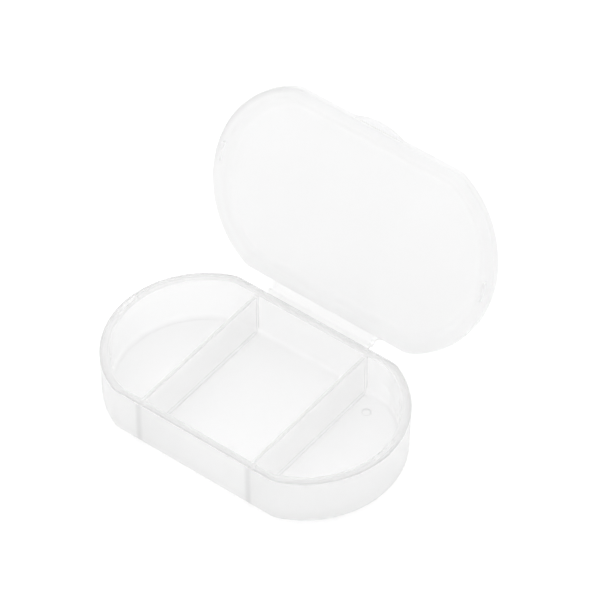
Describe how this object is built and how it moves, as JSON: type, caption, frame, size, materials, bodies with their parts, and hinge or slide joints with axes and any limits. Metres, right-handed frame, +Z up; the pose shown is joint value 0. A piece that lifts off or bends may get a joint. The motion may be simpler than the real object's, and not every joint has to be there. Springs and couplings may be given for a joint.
{
  "type": "pill box",
  "caption": "Oval pocket pill box in frosted clear plastic, with cross dividers, a thumb tab and a lid standing open on a living hinge.",
  "frame": {"origin": "centre of the tray's flat underside", "axes": "+X along the length to the right, +Y towards the hinge at the rear, +Z up; the lid stands open behind the tray"},
  "size_m": [0.0864, 0.0772, 0.0639],
  "materials": {
    "tray_plastic": "natural polypropylene, moulded gloss with a faint frost",
    "lid_plastic": "natural polypropylene, fine matt texture",
    "hinge_film": "thin natural polypropylene web"
  },
  "bodies": {
    "tray": {"tray_shell": "tray_plastic", "divider_left": "tray_plastic", "divider_right": "tray_plastic", "tray_hinge_flange": "hinge_film", "living_hinge_film": "hinge_film"},
    "lid": {"lid_panel": "lid_plastic", "lid_skirt": "lid_plastic", "thumb_tab": "lid_plastic", "lid_hinge_flange": "hinge_film", "snap_rib_left": "lid_plastic", "snap_rib_right": "lid_plastic"}
  },
  "joints": [
    {"name": "lid_hinge", "type": "hinge", "parent": "tray", "child": "lid", "pos_m": [0, 0.0275, 0.0142], "axis": [-1, 0, 0], "range_deg": [-113.5, 66.5]}
  ]
}
